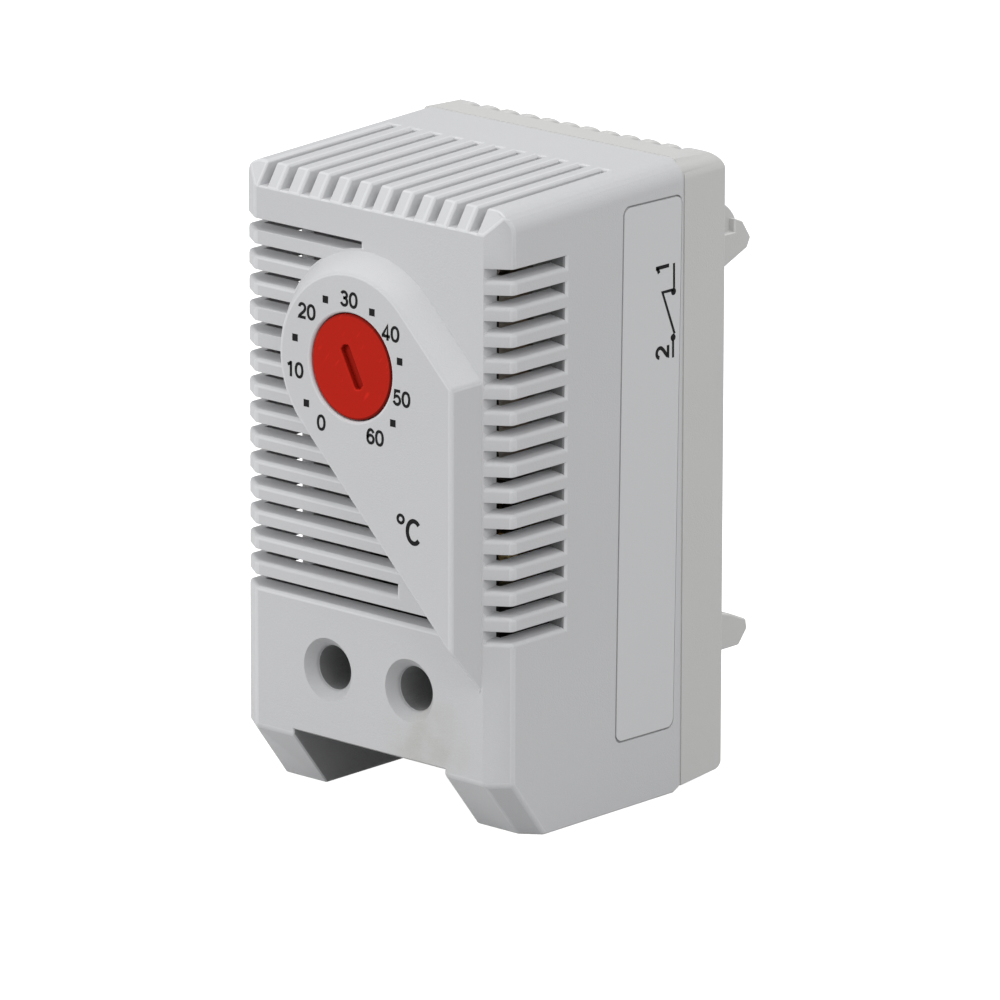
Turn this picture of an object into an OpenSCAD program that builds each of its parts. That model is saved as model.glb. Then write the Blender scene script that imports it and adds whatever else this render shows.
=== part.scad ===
// Mechanical enclosure thermostat for a 35 mm rail: a louvred housing with a setting dial,
// a bimetal snap contact inside, two cage clamps and a rear base with rail claws.
// Millimetres. X runs to the right, Y from front to back, Z up. The part stands on its feet.

/* [Housing] */
// Width of the body
body_w = 33; // [30:0.5:38]
// Height of the body at the seam and behind it
body_h = 60.25; // [59:0.25:66]
// Depth of the front housing, from its front face to the seam
hood_d = 24.6; // [24.2:0.1:30]
// Depth of the rear base, from the seam to its back face
base_d = 6; // [5.2:0.05:8]
// Wall thickness of both shells
wall = 1.8; // [1.4:0.1:2]
// How far the roof falls from the seam to the front
roof_fall = 0.9; // [0.2:0.1:1.5]
// Radius of the two long roof edges
edge_r = 2; // [1:0.1:2.6]
// Width of the upright corner chamfers, seen from the front
chamfer_w = 2.3; // [1.4:0.1:2.6]
// Depth of the upright corner chamfers, seen from the side
chamfer_d = 1.6; // [1:0.1:2.2]
// Height of the sloped brow between front and roof
brow_h = 2.1; // [1.2:0.1:3]
// Depth of the sloped brow
brow_d = 1.4; // [0.8:0.1:2]

/* [Feet] */
// Height at which the front starts to slope back to the feet
toe_h = 5.65; // [4:0.05:6]
// How far the slope runs back
toe_d = 4.5; // [2:0.1:5]
// Width of the wiring recess between the feet
recess_w = 18.8; // [18:0.2:20]
// Height of the wiring recess
recess_h = 6.1; // [6.05:0.05:6.4]

/* [Vents] */
// Number of louvre rows on the left and right corners
louvre_rows = 15; // [8:1:15]
// Spacing of the louvre rows
louvre_pitch = 2.425; // [2:0.005:2.45]
// Height of one louvre slot
louvre_h = 1.06; // [0.8:0.02:1.3]
// Upper edge of the highest louvre slot
louvre_top = 54.15; // [53:0.05:55]
// How far the louvre slots reach along the sides
louvre_reach = 8.5; // [6:0.1:12]
// Number of roof slots
roof_slots = 11; // [5:1:11]
// Spacing of the roof slots
roof_pitch = 2.6; // [2:0.05:2.6]
// Width of one roof slot
roof_slot_w = 1.3; // [0.8:0.1:1.4]
// How far the roof slots reach back
roof_reach = 18; // [12:0.5:20]
// Number of vent notches in the rear roof edge
notch_count = 11; // [5:1:11]
// Spacing of the vent notches
notch_pitch = 2.5; // [2:0.05:2.6]
// Width of one vent notch
notch_w = 1.2; // [0.8:0.1:1.4]

/* [Dial] */
// Height of the dial axis
dial_z = 42.95; // [42:0.05:44]
// Radius of the dial
dial_r = 4.95; // [4:0.05:5.6]
// Radius of the round end of the raised scale plate
plate_r = 8.8; // [8:0.1:9.2]
// How far the scale plate stands out of the front
plate_rise = 2.35; // [1.2:0.05:3]
// Width of the sloped border of the scale plate
plate_bevel = 1.6; // [0.8:0.1:2]
// Right edge of the scale plate, from the middle of the body
plate_right = 12.4; // [11:0.1:12.6]
// How deep the dial face sits below the scale plate
dial_sink = 0.15; // [0.1:0.05:0.8]
// Angle that the dial turns over its whole scale
dial_sweep = 300; // [240:5:300]
// Highest temperature on the scale, which starts at zero
scale_top = 60; // [40:5:80]
// Temperature at which the dial is drawn
scale_rest = 24.5; // [5:0.5:35]
// Travel of the plunger for one turn of the dial
dial_thread_pitch = 0.7; // [0.5:0.05:0.8]

/* [Terminals] */
// Distance of each terminal from the middle of the body
terminal_x = 5.1; // [5:0.05:5.2]
// Height of the terminal screws
terminal_z = 12.8; // [12.65:0.05:13]
// Radius of the screwdriver holes
access_r = 2.1; // [1.8:0.05:2.2]
// Radius of the countersinks in front of them
access_sink_r = 3; // [2.6:0.05:3.4]
// Radius of the wire entries
entry_r = 2.1; // [1.6:0.05:2.3]
// Opening of the cage clamps
clamp_travel = 2.4; // [1.6:0.1:2.4]

/* [Rail clip] */
// Height of the rail over the feet, at its middle line
rail_z = 30.25; // [30:0.05:30.6]
// Width of the rail
rail_w = 35; // [34.8:0.1:35.2]
// Thickness of the rail
rail_t = 1; // [1:0.1:1.2]
// Distance from the back of the base to the rail's front face
rail_seat = 4; // [3.6:0.05:5]
// How far the claws reach behind the base
claw_reach = 10; // [9:0.05:11]
// Outer face of the claws, from the middle of the body
claw_x = 10.9; // [10.6:0.1:11.4]
// Width of one claw
claw_w = 4; // [3:0.1:4.4]

/* [Hidden] */
$fn = 72;

// Clearances and the overrun of every cut
over = 1;
run_gap = 0.3;
fit_gap = 0.08;
seat_gap = 0.1;
touch_gap = 0.05;

// Body
half_w = body_w / 2;
body_d = hood_d + base_d;
inner_w = half_w - wall;
roof_angle = atan(roof_fall / hood_d);
function roof_z(y) = body_h - roof_fall * (hood_d - y) / hood_d;
brow_z = roof_z(brow_d) - brow_h;
toe_angle = atan(toe_d / toe_h);
floor_z = recess_h + wall;
recess_x = recess_w / 2;
foot_wall = 1.5;
toe_ease = 0.15;
toe_chamfer_w = 2;
heel_d = 0.7;
heel_h = 0.35;
skirt_lift = 0.5;
skirt_rise = 0.5;
total_d = plate_rise + body_d + claw_reach;
front_y = plate_rise - total_d / 2;

// Seam and snap joint between the shells
seam_groove = 0.25;
lip_d = 2.8;
lip_t = 1.2;
lip_root = 1.6;
snap_rise = 0.35;
snap_len = 8;
snap_h = 1;
snap_z = [20.25, 42.25];
back_t = wall;
back_in = body_d - back_t;
back_top_r = 2.2;
back_low_r = 1.1;
back_side_r = 0.25;
notch_reach = 2.6;

// Slope of the plate's tongue, the border that the louvres keep from it, and the ends of two rows
tongue_angle = 45;
louvre_margin = 0.2;
guard_r = plate_r + plate_bevel + louvre_margin;
top_row_end = -0.9;
short_row = 13;
short_row_end = 3.47;

// Label on the right side
label_h = 50.4;
label_w = 7.9;
label_t = 0.15;
label_r = 0.8;
label_margin = 0.55;
label_mid_y = hood_d - label_w / 2 - label_margin;
label_mid_z = 31.85;
label_tilt = 0.9;
label_gap = 0.06;

// Dial, its flange and spindle, from front to back
dial_turn = dial_sweep * (scale_rest / scale_top - 0.5);
dial_gap = 0.1;
flange_t = 1.2;
flange_over = 1.2;
flange_r = dial_r + flange_over;
stop_reach = 1.3;
stop_w = 1.6;
groove_len = 4.3;
groove_w = 0.8;
groove_deep = 0.6;
full_turn = 360;
half_turn = full_turn / 2;
washer_t = 0.8;
washer_r = 4.2;
washer_bore = 2.6;
bridge_t = 2;
journal_r = 2.2;
thread_r = 2;
neck_r = 1.7;
clip_t = 0.5;
clip_r = 3.6;
knurl_r = 1.8;
spindle_seat = 2.3;
dial_face = dial_sink - plate_rise;
flange_y = wall + run_gap;
washer_y = flange_y + flange_t + touch_gap;
bridge_y = washer_y + washer_t + touch_gap;
clip_y = bridge_y + bridge_t + seat_gap;
neck_end = clip_y + clip_t + touch_gap;
plunger_back = dial_thread_pitch * dial_sweep * scale_rest / scale_top / full_turn;
plunger_y = neck_end + plunger_back + 2 * seat_gap;
plunger_d = 4.6;
plunger_half = 3.5;
plunger_cap = 0.7;
plunger_tip_r = 1.5;
plunger_tip_end_r = 0.8;
plunger_tip = 1;
thread_slack = 0.6;
spindle_end = plunger_y + plunger_d - plunger_cap - thread_slack;

// Levers, contacts and magnet, from front to back
lever_w = 6;
lever_t = 0.4;
lever_y = plunger_y + plunger_d + plunger_tip + seat_gap;
contact_r = 2;
contact_t = 1.5;
contact_gap = 1;
magnet_w = 6;
magnet_h = 3.4;
magnet_t = 1.2;
strip_w = 8;
strip_t = 0.6;
strip_y = lever_y + lever_t + 2 * contact_t + contact_gap;
rivet_r = 1;
rivet_tail = 0.4;
jaw_gap = 0.1;
cheek_t = 0.6;
jaw_top = 27.35;
jaw_slot = 2;
jaw_h = 3.6;
strip_low = jaw_top - jaw_slot + jaw_gap;
lever_room = 1.6;
contact_drop = 6.2;
lever_top = body_h - roof_fall - wall - lever_room;
contact_z = lever_top - contact_drop;
magnet_z = lever_top - magnet_h / 2 - run_gap;

// Terminals, from front to back
sleeve_r = 3.3;
sleeve_end = 6.4;
head_r = 2.4;
head_t = 1.4;
head_slack = 0.5;
head_y = sleeve_end + head_slack;
head_slot_w = 0.8;
head_slot_deep = 0.8;
head_cross = 1.7;
shank_r = 1.5;
shoulder_t = 0.8;
cage_w = 7;
cage_h = 6.7;
cage_front_t = 1.8;
cage_t = 1;
carrier_front = sleeve_end + 2 * seat_gap;
shoulder_y = head_y + head_t + 2 * seat_gap;
pocket_y = shoulder_y + shoulder_t;
cage_y = pocket_y + run_gap + clamp_travel;
bar_y = cage_y + cage_front_t + run_gap;
bar_t = 0.9;
bar_w = 4.4;
wire_gap = clamp_travel + 2 * seat_gap;
cage_back = bar_y + bar_t + wire_gap;
entry_y = bar_y + bar_t + wire_gap / 2;
bar_low = 9.85;

// Carrier
entry_relief = 0.6;
carrier_half = 10.2;
carrier_lift = 0.25;
carrier_inset = 2.2;
bridge_drop = 5.7;
bridge_rise = 5.8;
carrier_low = floor_z + carrier_lift;
carrier_top = 20.65;
carrier_back = hood_d - carrier_inset;
pillar_t = 2;
pillar_x = plunger_half + seat_gap;
guide_end = plunger_y + plunger_d - run_gap;
bridge_low = dial_z - bridge_drop;
bridge_top = dial_z + bridge_rise;
stop_post_w = 5;
stop_post_h = 2;
barrier_t = 1;
barrier_half = 3.9;
barrier_top = 29.25;
bar_1_y = strip_y - cheek_t - jaw_gap;
bar_1_back = strip_y + strip_t + jaw_gap;
strap_z = carrier_top + seat_gap;
strap_gap = 1.2;
lug_x = 8.8;
lug_z = 25.25;
lug_half = 2.3;
lug_t = 3;
screw_r = 1.1;
screw_head_r = 2;
screw_head_t = 1.1;
screw_bite = 2.2;

// Rail clip
seat_y = body_d + rail_seat;
catch_y = seat_y + rail_t + run_gap;
claw_end = body_d + claw_reach;
rail_top = rail_z + rail_w / 2;
rail_low = rail_z - rail_w / 2;
hook_lap = 1.1;
hook_roof = 2;
hook_rise = 1.3;
hook_root = 3.3;
latch_lap = 0.9;
leg_t = 1.5;
leg_drop = 2.85;
leg_mid_y = body_d - leg_t / 2;
leg_low = rail_low - leg_drop;
leg_top = 21.25;
leg_gap = 0.1;
pad_half = 5.5;
pad_h = 3.9;
gusset_t = 1;
gusset_in = 0.7;
claw_web = 1;
gusset_rise = 4.45;
gusset_share = 0.76;
pad_inset = 0.9;
hook_shares = [[0, 0.04], [0.08, 0], [0.9, 0.34], [1, 0.54], [0.76, 0.9], [0.51, 1]];
latch_shares = [[0.75, 0], [1, 0.38], [0.96, 0.63], [0.5, 0.88], [0.2, 0.98], [0.05, 1], [0, 0.95]];

// Point of a claw's nose, at a share of its reach behind the catch and of its height
function nose_point(share, z0, z1) = [
    catch_y + share.x * (claw_end - catch_y),
    z0 + share.y * (z1 - z0)
];

// Puts a piece, drawn from the front face, at its place about the middle of the footprint
module placed() {
    translate([0, front_y, 0])
        children();
}

// Box between two corners
module block(low, high) {
    translate(low)
        cube(high - low);
}

// Outline in X and Z, extruded from y0 back to y1
module along_y(y0, y1) {
    translate([0, y1, 0])
        rotate([90, 0, 0])
            linear_extrude(y1 - y0)
                children();
}

// Outline in Y and Z, extruded from x0 to x1
module along_x(x0, x1) {
    translate([x0, 0, 0])
        rotate([90, 0, 90])
            linear_extrude(x1 - x0)
                children();
}

// Round rod from y0 back to y1, at x and z
module rod(y0, y1, r, x = 0, z = 0) {
    translate([x, y0, z])
        rotate([-90, 0, 0])
            cylinder(h = y1 - y0, r = r);
}

// Cone from y0 back to y1, at x and z
module cone(y0, y1, r0, r1, x = 0, z = 0) {
    translate([x, y0, z])
        rotate([-90, 0, 0])
            cylinder(h = y1 - y0, r1 = r0, r2 = r1);
}

// Both sides of the body
module both_sides() {
    children();
    mirror([1, 0, 0])
        children();
}

// Cutter that rounds a long roof edge, from y0 to y1 along a roof tilted by angle
module roof_edge_cutter(y0, y1, angle) {
    translate([half_w, hood_d, body_h])
        rotate([angle, 0, 0])
            difference() {
                block([-edge_r, y0 - hood_d - over, -edge_r], [over, y1 - hood_d, over]);
                rod(y0 - hood_d - 2 * over, y1 - hood_d + over, edge_r, -edge_r, -edge_r);
            }
}

// Cutter for an upright corner chamfer of a given width
module corner_cutter(width) {
    translate([half_w, 0, -over])
        linear_extrude(body_h + 2 * over)
            polygon([
                [-width * (1 + over / chamfer_d), -over],
                [over, -over],
                [over, chamfer_d * (1 + over / width)]
            ]);
}

// The corner chamfer, leaned back along the sloped toe, where it narrows towards the floor
module toe_cutter() {
    width = chamfer_w - toe_ease;
    lean_x = (width - toe_chamfer_w) / toe_h;
    lean_y = toe_d / toe_h;
    multmatrix([
        [1, 0, -lean_x, lean_x * toe_h],
        [0, 1, -lean_y, lean_y * toe_h],
        [0, 0, 1, 0]
    ])
        corner_cutter(width);
}

// Side profile of the front housing
module hood_profile() {
    polygon([
        [0, toe_h],
        [toe_d, 0],
        [hood_d - heel_d, 0],
        [hood_d, heel_h],
        [hood_d, body_h],
        [brow_d, roof_z(brow_d)],
        [0, brow_z]
    ]);
}

// Side profile of the hollow in the front housing
module hood_hollow_profile() {
    polygon([
        [wall, floor_z],
        [hood_d + over, floor_z],
        [hood_d + over, roof_z(hood_d + over) - wall],
        [brow_d + wall / 2, roof_z(brow_d + wall / 2) - wall],
        [wall, brow_z - wall / 2]
    ]);
}

// Side profile of the hollow in a foot
module foot_hollow_profile() {
    slope_wall = wall / cos(toe_angle);
    polygon([
        [wall, floor_z + over],
        [wall, toe_h + (slope_wall - wall) / tan(toe_angle)],
        [slope_wall + toe_d * (toe_h - wall) / toe_h, wall],
        [hood_d + over, wall],
        [hood_d + over, floor_z + over]
    ]);
}

// Raised scale plate: a round end and a tongue that runs down to the right, with sloped borders
module scale_plate() {
    border = plate_bevel * (1 + over / plate_rise);
    translate([0, 0, dial_z]) {
        rotate([90, 0, 0])
            rotate([0, 0, tongue_angle])
                rotate_extrude(angle = half_turn)
                    polygon([
                        [0, plate_rise],
                        [plate_r, plate_rise],
                        [plate_r + border, -over],
                        [0, -over]
                    ]);
        intersection() {
            rotate([0, -tongue_angle, 0])
                plate_band(plate_r, plate_r);
            translate([0, 0, body_h])
                plate_band(body_w, plate_right);
        }
    }
}

// Band of the plate between two sloped borders, from the dial axis down along Z
module plate_band(left, right) {
    border = plate_bevel * (1 + over / plate_rise);
    translate([0, 0, -2 * body_h])
        linear_extrude(2 * body_h)
            polygon([
                [-left, -plate_rise],
                [right, -plate_rise],
                [right + border, over],
                [-left - border, over]
            ]);
}

// Area in front view that the louvres keep clear of
module louvre_guard() {
    reach = half_w + over;
    translate([0, dial_z]) {
        circle(guard_r);
        polygon([
            [top_row_end, 0],
            [top_row_end, body_h - dial_z],
            [reach, body_h - dial_z],
            [reach, -guard_r * sqrt(2) - reach],
            [-guard_r / sqrt(2), -guard_r / sqrt(2)]
        ]);
    }
}

// Louvre rows, as cutters
module louvres() {
    for (row = [0 : louvre_rows - 1]) {
        z1 = louvre_top - row * louvre_pitch;
        both_sides()
            block([half_w - chamfer_w, -over, z1 - louvre_h], [half_w + over, louvre_reach, z1]);
    }
    along_y(-over, wall + over)
        difference() {
            for (row = [0 : louvre_rows - 1])
                translate([-half_w - over, louvre_top - row * louvre_pitch - louvre_h])
                    square([body_w, louvre_h]);
            louvre_guard();
            translate([short_row_end, louvre_top - short_row * louvre_pitch - louvre_h - over / 2])
                square([half_w, louvre_h + over]);
        }
}

// Slots in the roof, which run down over the brow, as cutters
module roof_cuts() {
    for (i = [0 : roof_slots - 1]) {
        x = (i - (roof_slots - 1) / 2) * roof_pitch;
        block([x - roof_slot_w / 2, -over, brow_z], [x + roof_slot_w / 2, roof_reach, body_h + over]);
    }
}

// Bore and countersink of a screwdriver hole
module access_cut(x) {
    sink_d = access_sink_r - access_r;
    rod(-over, sleeve_end + over, access_r, x, terminal_z);
    cone(-over, sink_d, access_sink_r + over, access_r, x, terminal_z);
}

// Pocket for the label in the right side
module label_shape(grow) {
    offset_r = label_r + grow;
    translate([label_mid_y, label_mid_z])
        rotate(-label_tilt)
            union() {
                square([label_w + 2 * grow, label_h - 2 * label_r], center = true);
                square([label_w - 2 * label_r, label_h + 2 * grow], center = true);
                for (sy = [-1, 1], sz = [-1, 1])
                    translate([sy * (label_w / 2 - label_r), sz * (label_h / 2 - label_r)])
                        circle(offset_r);
            }
}

// Grooves inside the side walls for the snap ridges of the base
module snap_grooves() {
    for (z = snap_z)
        both_sides()
            block(
                [inner_w - over, hood_d - lip_d / 2 - snap_h / 2 - seat_gap, z - snap_len / 2 - seat_gap],
                [inner_w + snap_rise, hood_d - lip_d / 2 + snap_h / 2 + seat_gap, z + snap_len / 2 + seat_gap]
            );
}

module front_housing() {
    color("gainsboro")
        placed()
            difference() {
                union() {
                    difference() {
                        along_x(-half_w, half_w)
                            hood_profile();
                        both_sides() {
                            roof_edge_cutter(-2 * over, hood_d + over, roof_angle);
                            corner_cutter(chamfer_w);
                            toe_cutter();
                        }
                        along_x(-inner_w, inner_w)
                            hood_hollow_profile();
                        both_sides()
                            along_x(recess_x + foot_wall, inner_w)
                                foot_hollow_profile();
                    }
                    intersection() {
                        scale_plate();
                        block([-half_w, -plate_rise, 0], [half_w, wall, body_h]);
                    }
                    for (x = [-terminal_x, terminal_x])
                        rod(wall / 2, sleeve_end, sleeve_r, x, terminal_z);
                }
                louvres();
                roof_cuts();
                snap_grooves();
                rod(-plate_rise - over, wall + over, dial_r + dial_gap, 0, dial_z);
                for (x = [-terminal_x, terminal_x]) {
                    access_cut(x);
                    translate([x, entry_y, recess_h - over])
                        cylinder(h = wall + 2 * over, r = entry_r);
                }
                block([-recess_x, -over, -over], [recess_x, hood_d + over, recess_h]);
                along_x(half_w - label_t, half_w + over)
                    label_shape(label_gap);
            }
}

// Side profile of the rear base, whose underside rises towards the back
module base_profile() {
    low = skirt_lift + skirt_rise;
    union() {
        polygon([
            [hood_d, skirt_lift],
            [body_d - back_low_r, low],
            [body_d, low + back_low_r],
            [body_d, body_h - back_top_r],
            [body_d - back_top_r, body_h],
            [hood_d, body_h]
        ]);
        translate([body_d - back_top_r, body_h - back_top_r])
            circle(back_top_r);
        translate([body_d - back_low_r, low + back_low_r])
            circle(back_low_r);
    }
}

// Vent notches in the rear roof edge, as cutters
module rear_notches() {
    for (i = [0 : notch_count - 1]) {
        x = (i - (notch_count - 1) / 2) * notch_pitch;
        block(
            [x - notch_w / 2, body_d - notch_reach, body_h - notch_reach],
            [x + notch_w / 2, body_d + over, body_h + over]
        );
    }
}

// Lip that enters the front housing on both sides and under the roof, with its snap ridges
module base_lip() {
    x1 = inner_w - seat_gap;
    z1 = body_h - wall - roof_fall * lip_d / hood_d - seat_gap;
    z0 = carrier_low + run_gap;
    difference() {
        union() {
            block([-x1, hood_d - lip_d, z0], [x1, hood_d + lip_root, z1]);
            block(
                [-half_w + wall / 2, hood_d + seam_groove, z0],
                [half_w - wall / 2, hood_d + lip_root, body_h - wall / 2]
            );
        }
        block([lip_t - x1, hood_d - lip_d - over, -over], [x1 - lip_t, body_d, z1 - lip_t]);
    }
    for (z = snap_z)
        both_sides()
            block(
                [x1 - lip_t / 2, hood_d - lip_d / 2 - snap_h / 2, z - snap_len / 2],
                [inner_w + snap_rise - seat_gap, hood_d - lip_d / 2 + snap_h / 2, z + snap_len / 2]
            );
}

// Side profile of an upper claw: root, shelf, catch and lead-in nose
module hook_profile() {
    shelf = rail_top + run_gap;
    low = rail_top - hook_lap;
    high = shelf + hook_roof + hook_rise;
    nose = [for (share = hook_shares) nose_point(share, low, high)];
    polygon(concat(
        [
            [body_d - back_t / 2, shelf - hook_root],
            [seat_y, shelf - hook_root],
            [seat_y, shelf],
            [catch_y, shelf]
        ],
        nose,
        [
            [nose[len(nose) - 1].x, shelf + hook_roof],
            [body_d - back_t / 2, shelf + hook_roof]
        ]
    ));
}

// Side profile of the rib over an upper claw, a quarter of an ellipse on a low foot
module gusset_profile() {
    shelf = rail_top + run_gap + hook_roof;
    reach = nose_point([gusset_share, 0], 0, 0).x - body_d;
    intersection() {
        translate([body_d, shelf])
            scale([reach, gusset_rise])
                circle(1, $fn = 40);
        translate([body_d - back_t / 2, shelf])
            square([reach + back_t, gusset_rise]);
    }
    translate([body_d - back_t / 2, shelf - hook_roof / 2])
        square([reach + back_t / 2, hook_roof / 2]);
}

// Window in the back plate for one latch leg, as a cutter
module latch_window() {
    block(
        [claw_x - claw_w - run_gap, back_in - over, leg_low - 2 * run_gap],
        [claw_x + run_gap, body_d + over, leg_top]
    );
    translate([claw_x - claw_w - run_gap, leg_mid_y, leg_top])
        rotate([0, 90, 0])
            cylinder(h = claw_w + 2 * run_gap, r = leg_t / 2 + leg_gap);
}

module rear_base() {
    color("lightgray")
        placed()
            difference() {
                union() {
                    difference() {
                        intersection() {
                            along_x(-half_w, half_w)
                                base_profile();
                            translate([0, 0, -over])
                                linear_extrude(body_h + 2 * over)
                                    base_plan();
                        }
                        both_sides()
                            roof_edge_cutter(hood_d, body_d + over, 0);
                        seam_cutter();
                        block(
                            [-inner_w, hood_d - over, skirt_lift + wall],
                            [inner_w, back_in, body_h - wall]
                        );
                    }
                    base_lip();
                    both_sides()
                        upper_claw();
                    for (z = [rail_top - pad_h, rail_low + pad_inset])
                        block([-pad_half, back_in + wall / 2, z], [pad_half, seat_y, z + pad_h]);
                    both_sides()
                        rod(carrier_back, back_in + wall / 2, lug_half, lug_x, lug_z);
                }
                rear_notches();
                both_sides() {
                    latch_window();
                    rod(carrier_back - over, body_d + over, screw_r + touch_gap, lug_x, lug_z);
                    cone(
                        body_d - screw_head_t,
                        body_d + over,
                        screw_r + touch_gap,
                        screw_head_r + touch_gap + over * (screw_head_r - screw_r) / screw_head_t,
                        lug_x,
                        lug_z
                    );
                }
            }
}

// Plan outline of the rear base
module base_plan() {
    translate([-half_w, hood_d - over])
        square([body_w, base_d + over - back_side_r]);
    translate([back_side_r - half_w, hood_d])
        square([body_w - 2 * back_side_r, base_d]);
    for (x = [back_side_r - half_w, half_w - back_side_r])
        translate([x, body_d - back_side_r])
            circle(back_side_r);
}

// Fine groove around the seam, cut from the front edge of the base
module seam_cutter() {
    difference() {
        block(
            [-half_w - over, hood_d - over, -over],
            [half_w + over, hood_d + seam_groove, body_h + over]
        );
        block(
            [seam_groove - half_w, hood_d - 2 * over, skirt_lift],
            [half_w - seam_groove, hood_d + over, body_h - seam_groove]
        );
    }
}

module upper_claw() {
    along_x(claw_x - claw_w, claw_x)
        hook_profile();
    along_x(claw_x - gusset_in - gusset_t, claw_x - gusset_in)
        gusset_profile();
}

// Side profile of a latch leg with its lower claw
module latch_profile() {
    nose = [for (share = latch_shares) nose_point(share, leg_low, rail_low + latch_lap)];
    polygon(concat(
        [
            [leg_mid_y - leg_t / 2, leg_top],
            [leg_mid_y - leg_t / 2, leg_low]
        ],
        nose,
        [
            [catch_y, rail_low - run_gap],
            [body_d, rail_low - run_gap],
            [body_d, leg_top]
        ]
    ));
}

// Sprung leg on the right side, with its lower claw and the hollow under it
module rail_latch() {
    color("lightgray")
        placed()
            difference() {
                union() {
                    along_x(claw_x - claw_w, claw_x)
                        latch_profile();
                    translate([claw_x - claw_w, leg_mid_y, leg_top])
                        rotate([0, 90, 0])
                            cylinder(h = claw_w, r = leg_t / 2);
                }
                block(
                    [claw_x - claw_w + gusset_t, body_d + claw_web, leg_low - over],
                    [claw_x - gusset_t, catch_y, rail_low - run_gap - claw_web]
                );
            }
}

module rail_latch_1() {
    mirror([1, 0, 0])
        rail_latch();
}

module rail_latch_2() {
    rail_latch();
}

module side_label() {
    color("whitesmoke")
        placed()
            along_x(half_w - label_t, half_w)
                label_shape(0);
}

module setpoint_dial() {
    color("firebrick")
        placed()
            translate([0, 0, dial_z])
                rotate([0, dial_turn, 0])
                    difference() {
                        union() {
                            rod(dial_face, flange_y + flange_t, dial_r);
                            rod(flange_y, flange_y + flange_t, flange_r);
                            block(
                                [-stop_w / 2, flange_y, -flange_r - stop_reach],
                                [stop_w / 2, flange_y + flange_t, -dial_r]
                            );
                        }
                        dial_groove();
                        rod(dial_face + spindle_seat, flange_y + flange_t + over, knurl_r + touch_gap);
                    }
}

// Screwdriver groove across the dial face, with round ends
module dial_groove() {
    end_z = (groove_len - groove_w) / 2;
    block(
        [-groove_w / 2, dial_face - over, -end_z],
        [groove_w / 2, dial_face + groove_deep, end_z]
    );
    for (z = [-end_z, end_z])
        rod(dial_face - over, dial_face + groove_deep, groove_w / 2, 0, z);
}

module spindle() {
    color("darkkhaki")
        placed()
            translate([0, 0, dial_z])
                union() {
                    rod(dial_face + spindle_seat + seat_gap, washer_y, knurl_r);
                    rod(washer_y, bridge_y + bridge_t + touch_gap, journal_r);
                    rod(bridge_y + bridge_t, neck_end + touch_gap, neck_r);
                    rod(neck_end, spindle_end, thread_r);
                }
}

module wave_washer() {
    color("silver")
        placed()
            difference() {
                rod(washer_y, washer_y + washer_t, washer_r, 0, dial_z);
                rod(washer_y - over, bridge_y + over, washer_bore, 0, dial_z);
            }
}

module spindle_clip() {
    color("silver")
        placed()
            translate([0, 0, dial_z])
                difference() {
                    rod(clip_y, clip_y + clip_t, clip_r);
                    rod(clip_y - over, clip_y + clip_t + over, neck_r + touch_gap);
                    block(
                        [-neck_r, clip_y - over, -clip_r - over],
                        [neck_r, clip_y + clip_t + over, 0]
                    );
                }
}

module adjusting_plunger() {
    color("ivory")
        placed()
            translate([0, 0, dial_z])
                difference() {
                    union() {
                        block(
                            [-plunger_half, plunger_y, -plunger_half],
                            [plunger_half, plunger_y + plunger_d, plunger_half]
                        );
                        cone(
                            plunger_y + plunger_d - touch_gap,
                            plunger_y + plunger_d + plunger_tip,
                            plunger_tip_r,
                            plunger_tip_end_r
                        );
                    }
                    rod(plunger_y - over, plunger_y + plunger_d - plunger_cap, thread_r + fit_gap);
                }
}

// Lower block of the carrier, with a pocket for each cage clamp
module carrier_block() {
    difference() {
        block([-carrier_half, carrier_front, carrier_low], [carrier_half, carrier_back, carrier_top]);
        for (x = [-terminal_x, terminal_x]) {
            rod(carrier_front - over, shoulder_y, head_r + run_gap, x, terminal_z);
            rod(shoulder_y - over, pocket_y + over, shank_r + run_gap, x, terminal_z);
            block(
                [x - cage_w / 2 - run_gap, pocket_y, terminal_z - cage_h / 2 - run_gap],
                [x + cage_w / 2 + run_gap, carrier_back + over, terminal_z + cage_h / 2 + run_gap]
            );
            block(
                [x - bar_w / 2 - touch_gap, bar_y - touch_gap, bar_low - touch_gap],
                [x + bar_w / 2 + touch_gap, bar_y + bar_t + touch_gap, carrier_top + over]
            );
            translate([x, entry_y, carrier_low - over])
                cylinder(h = terminal_z - carrier_low, r = entry_r + entry_relief);
        }
    }
}

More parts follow.
